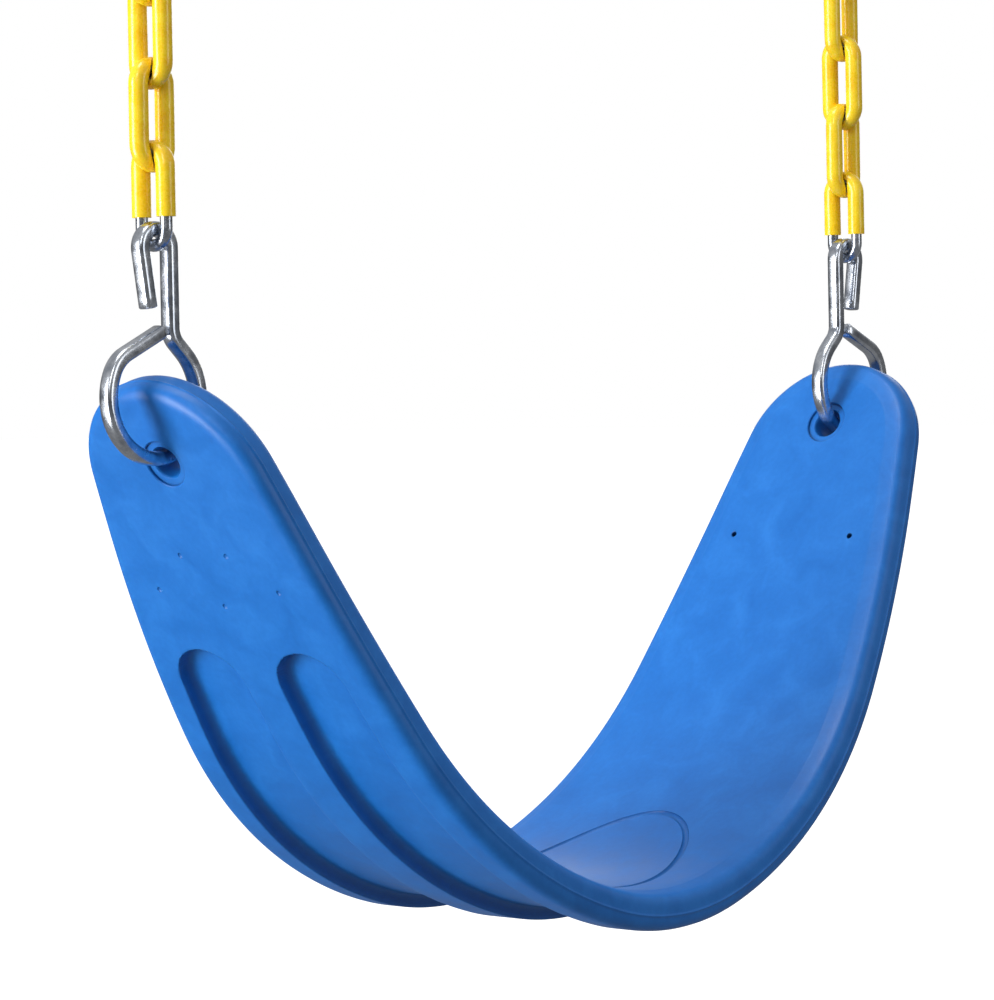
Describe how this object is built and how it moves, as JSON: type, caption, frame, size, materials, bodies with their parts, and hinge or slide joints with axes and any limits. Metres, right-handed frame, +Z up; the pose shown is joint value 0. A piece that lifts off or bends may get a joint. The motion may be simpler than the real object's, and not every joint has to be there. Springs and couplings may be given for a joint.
{
  "type": "swing seat with chains",
  "caption": "Flexible belt swing seat with a bent steel clip, a coated chain and a snap hook at each end.",
  "frame": {"origin": "middle of the hanging line, where the swing hangers bear in the two snap hooks", "axes": "+Z up, +X across the seat to the sitter's right-hand chain, +Y fore and aft"},
  "size_m": [0.486, 0.146, 0.4918],
  "materials": {
    "seat_plastic": "satin",
    "clip_steel": "bright zinc plate",
    "chain_steel": "bright zinc plate",
    "chain_coat": "glossy dipped vinyl",
    "snap_steel": "bright zinc plate",
    "spring_steel": "plain spring steel"
  },
  "bodies": {
    "hangers": {"left_snap_hook": "snap_steel", "right_snap_hook": "snap_steel"},
    "seat": {"seat": "seat_plastic"},
    "left_clip": {"left_clip": "clip_steel"},
    "left_link_1": {"left_link_1": "chain_steel", "left_link_coat_1": "chain_coat"},
    "left_link_2": {"left_link_2": "chain_steel", "left_link_coat_2": "chain_coat"},
    "left_link_3": {"left_link_3": "chain_steel", "left_link_coat_3": "chain_coat"},
    "left_link_4": {"left_link_4": "chain_steel", "left_link_coat_4": "chain_coat"},
    "left_link_5": {"left_link_5": "chain_steel", "left_link_coat_5": "chain_coat"},
    "left_gate": {"left_snap_gate": "snap_steel", "left_snap_pin": "snap_steel", "left_snap_spring": "spring_steel"},
    "right_clip": {"right_clip": "clip_steel"},
    "right_link_1": {"right_link_1": "chain_steel", "right_link_coat_1": "chain_coat"},
    "right_link_2": {"right_link_2": "chain_steel", "right_link_coat_2": "chain_coat"},
    "right_link_3": {"right_link_3": "chain_steel", "right_link_coat_3": "chain_coat"},
    "right_link_4": {"right_link_4": "chain_steel", "right_link_coat_4": "chain_coat"},
    "right_link_5": {"right_link_5": "chain_steel", "right_link_coat_5": "chain_coat"},
    "right_gate": {"right_snap_gate": "snap_steel", "right_snap_pin": "snap_steel", "right_snap_spring": "spring_steel"}
  },
  "joints": [
    {"name": "left_link_5_swing", "type": "hinge", "parent": "hangers", "child": "left_link_5", "pos_m": [-0.21538, 0, -0.055], "axis": [1, 0, 0], "range_deg": [-30, 30]},
    {"name": "left_link_4_swing", "type": "hinge", "parent": "left_link_5", "child": "left_link_4", "pos_m": [-0.21538, 0, -0.08045], "axis": [1, 0, 0], "range_deg": [-20, 20]},
    {"name": "left_link_3_swing", "type": "hinge", "parent": "left_link_4", "child": "left_link_3", "pos_m": [-0.21538, 0, -0.11625], "axis": [1, 0, 0], "range_deg": [-20, 20]},
    {"name": "left_link_2_swing", "type": "hinge", "parent": "left_link_3", "child": "left_link_2", "pos_m": [-0.21538, 0, -0.14245], "axis": [1, 0, 0], "range_deg": [-20, 20]},
    {"name": "left_link_1_swing", "type": "hinge", "parent": "left_link_2", "child": "left_link_1", "pos_m": [-0.21538, 0, -0.17825], "axis": [1, 0, 0], "range_deg": [-20, 20]},
    {"name": "left_clip_swing", "type": "hinge", "parent": "left_link_1", "child": "left_clip", "pos_m": [-0.21538, 0, -0.20292], "axis": [1, 0, 0], "range_deg": [-20, 20]},
    {"name": "left_gate_open", "type": "hinge", "parent": "hangers", "child": "left_gate", "pos_m": [-0.22588, 0, -0.0398], "axis": [0, 1, 0], "range_deg": [0, 22], "stiffness_Nm_per_rad": 0.05, "springref_deg": -17.19},
    {"name": "right_link_5_swing", "type": "hinge", "parent": "hangers", "child": "right_link_5", "pos_m": [0.21538, 0, -0.055], "axis": [1, 0, 0], "range_deg": [-30, 30]},
    {"name": "right_link_4_swing", "type": "hinge", "parent": "right_link_5", "child": "right_link_4", "pos_m": [0.21538, 0, -0.08045], "axis": [1, 0, 0], "range_deg": [-20, 20]},
    {"name": "right_link_3_swing", "type": "hinge", "parent": "right_link_4", "child": "right_link_3", "pos_m": [0.21538, 0, -0.11625], "axis": [1, 0, 0], "range_deg": [-20, 20]},
    {"name": "right_link_2_swing", "type": "hinge", "parent": "right_link_3", "child": "right_link_2", "pos_m": [0.21538, 0, -0.14245], "axis": [1, 0, 0], "range_deg": [-20, 20]},
    {"name": "right_link_1_swing", "type": "hinge", "parent": "right_link_2", "child": "right_link_1", "pos_m": [0.21538, 0, -0.17825], "axis": [1, 0, 0], "range_deg": [-20, 20]},
    {"name": "right_clip_swing", "type": "hinge", "parent": "right_link_1", "child": "right_clip", "pos_m": [0.21538, 0, -0.20292], "axis": [1, 0, 0], "range_deg": [-20, 20]},
    {"name": "right_gate_open", "type": "hinge", "parent": "hangers", "child": "right_gate", "pos_m": [0.22588, 0, -0.0398], "axis": [0, -1, 0], "range_deg": [0, 22], "stiffness_Nm_per_rad": 0.05, "springref_deg": -17.19},
    {"name": "seat_tilt", "type": "hinge", "parent": "left_clip", "child": "seat", "pos_m": [-0.20576, 0, -0.28759], "axis": [1, 0, 0], "range_deg": [-10, 10]}
  ],
  "couplings": [
    {"joint": "right_link_5_swing", "follows": "left_link_5_swing", "ratio": 1},
    {"joint": "right_link_4_swing", "follows": "left_link_4_swing", "ratio": 1},
    {"joint": "right_link_3_swing", "follows": "left_link_3_swing", "ratio": 1},
    {"joint": "right_link_2_swing", "follows": "left_link_2_swing", "ratio": 1},
    {"joint": "right_link_1_swing", "follows": "left_link_1_swing", "ratio": 1},
    {"joint": "right_clip_swing", "follows": "left_clip_swing", "ratio": 1}
  ]
}
